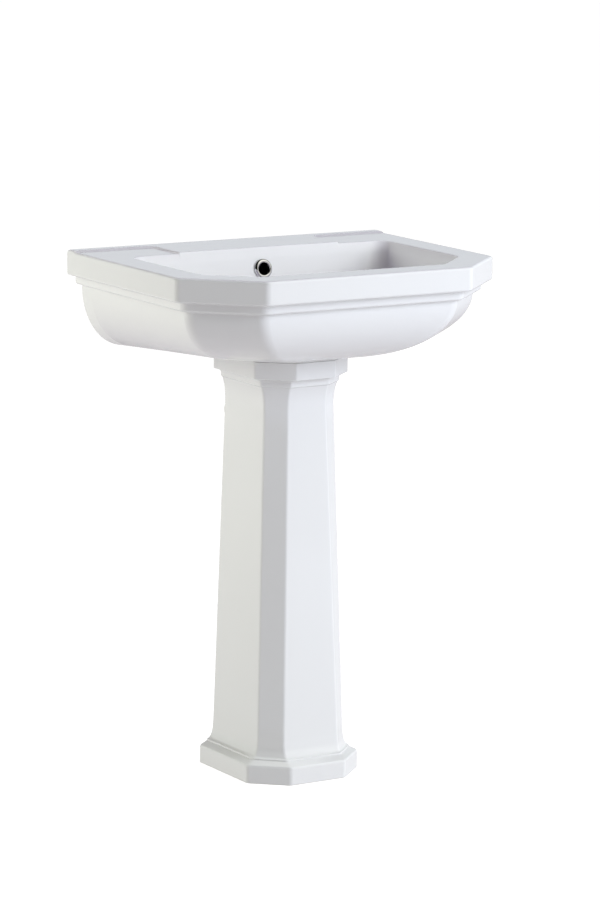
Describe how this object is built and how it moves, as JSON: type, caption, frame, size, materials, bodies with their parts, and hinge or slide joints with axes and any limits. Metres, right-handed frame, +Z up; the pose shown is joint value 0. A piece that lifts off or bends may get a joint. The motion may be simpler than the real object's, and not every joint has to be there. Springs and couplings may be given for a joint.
{
  "type": "pedestal sink",
  "caption": "Square-cornered china basin with a stepped moulding and canted front corners on a tapered, canted column, with click plug, bottle trap and wall bolts.",
  "frame": {"origin": "on the floor, in the middle of the footprint of basin and wall bolts; the basin's back face is 0.200 m behind it", "axes": "+Z up from the floor to the deck, -Y towards the user, +X to the right seen from the front"},
  "size_m": [0.6, 0.5, 0.8585],
  "materials": {
    "glazed_china": "glossy white glaze",
    "polished_chrome": "polished chrome plate",
    "turned_brass": "turned, unpolished",
    "zinc_steel": "zinc plated",
    "black_rubber": "matt",
    "white_silicone": "white silicone rubber",
    "white_plastic": "satin polypropylene"
  },
  "bodies": {
    "sink": {"basin": "glazed_china", "pedestal": "glazed_china", "overflow_ring": "polished_chrome", "waste_body": "polished_chrome", "waste_backnut": "turned_brass", "click_spring": "zinc_steel", "wall_bolt_left": "zinc_steel", "wall_bolt_right": "zinc_steel", "wall_washer_left": "zinc_steel", "wall_washer_right": "zinc_steel", "wall_nut_left": "zinc_steel", "wall_nut_right": "zinc_steel", "pedestal_gasket": "white_silicone", "waste_top_seal": "black_rubber", "waste_bottom_seal": "black_rubber", "trap_inlet_seal": "black_rubber", "trap_cup_seal": "black_rubber", "trap_outlet_seal": "black_rubber", "waste_washer": "white_plastic", "click_cartridge": "white_plastic", "trap_inlet_nut": "white_plastic", "trap_body": "white_plastic", "trap_cup": "white_plastic", "trap_outlet_nut": "white_plastic", "outlet_pipe": "white_plastic", "wall_bush_left": "white_plastic", "wall_bush_right": "white_plastic"},
    "plug": {"plug_cap": "polished_chrome", "plug_seal": "black_rubber", "plug_stem": "turned_brass"}
  },
  "joints": [
    {"name": "plug_click", "type": "slide", "parent": "sink", "child": "plug", "axis": [0, 0, 1], "range_m": [0, 0.009], "deforming": ["click_spring"]}
  ]
}
